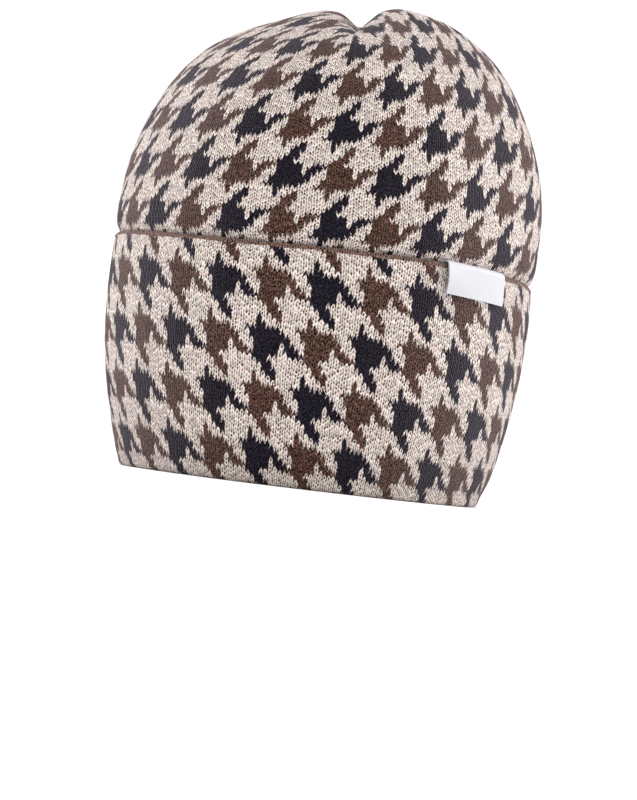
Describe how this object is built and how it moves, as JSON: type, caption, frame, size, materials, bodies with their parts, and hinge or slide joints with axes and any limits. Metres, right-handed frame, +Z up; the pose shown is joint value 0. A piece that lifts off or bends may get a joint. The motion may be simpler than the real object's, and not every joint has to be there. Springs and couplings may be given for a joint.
{
  "type": "knitted beanie",
  "caption": "Double-knit beanie with a deep turned-up cuff, a dart-closed rounded crown and a small folded label, standing on its bottom fold.",
  "frame": {"origin": "centre of the bounding box at the bottom fold, on the surface the hat stands on", "axes": "+Z up through the crown, -Y towards the brow, +X towards the wearer's left"},
  "size_m": [0.1781, 0.2091, 0.2055],
  "materials": {
    "crown_knit": "fine double-layer stocking-stitch wool in a cream, brown and navy dogtooth, matt and slightly hairy",
    "cuff_knit": "the same double-layer wool turned up, with a brown ridge row along its top edge",
    "label_cloth": "blank white damask-woven satin label, folded over the edge"
  },
  "bodies": {
    "root": {"crown": "crown_knit", "cuff": "cuff_knit", "label": "label_cloth"}
  },
  "joints": []
}
